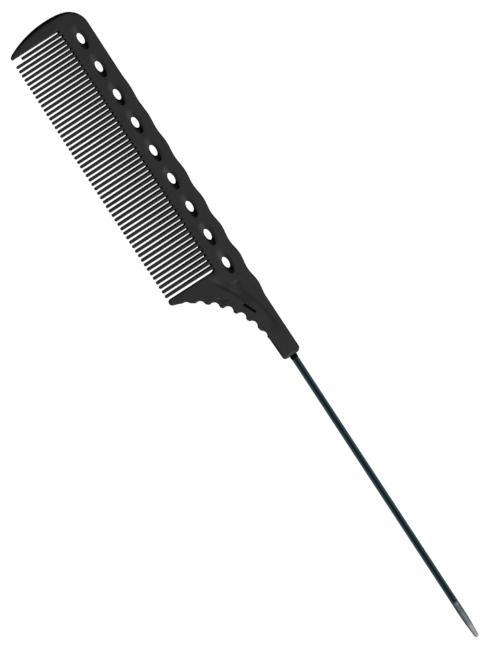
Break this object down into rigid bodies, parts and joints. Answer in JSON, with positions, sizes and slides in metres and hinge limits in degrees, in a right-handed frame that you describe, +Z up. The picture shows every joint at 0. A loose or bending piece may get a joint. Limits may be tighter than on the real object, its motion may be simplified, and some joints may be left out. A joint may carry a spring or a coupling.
{
  "type": "rat tail comb",
  "caption": "Flat fine-toothed comb with a pierced, wavy spine, a scalloped finger rest and a thin steel pin tail for parting hair.",
  "frame": {"origin": "under the middle of the whole comb, on the face that it lies on", "axes": "+X towards the tip of the tail, +Y from the teeth towards the spine, +Z up through the thickness"},
  "size_m": [0.2254, 0.0264, 0.004],
  "materials": {
    "moulding": "fine matte moulded carbon-filled plastic, softly worn at the edges",
    "pin_steel": "polished steel shank with a satin ground point",
    "collar": "black satin"
  },
  "bodies": {
    "root": {"comb_body": "moulding", "teeth": "moulding", "tail_pin": "pin_steel", "pin_collar": "collar"}
  },
  "joints": []
}
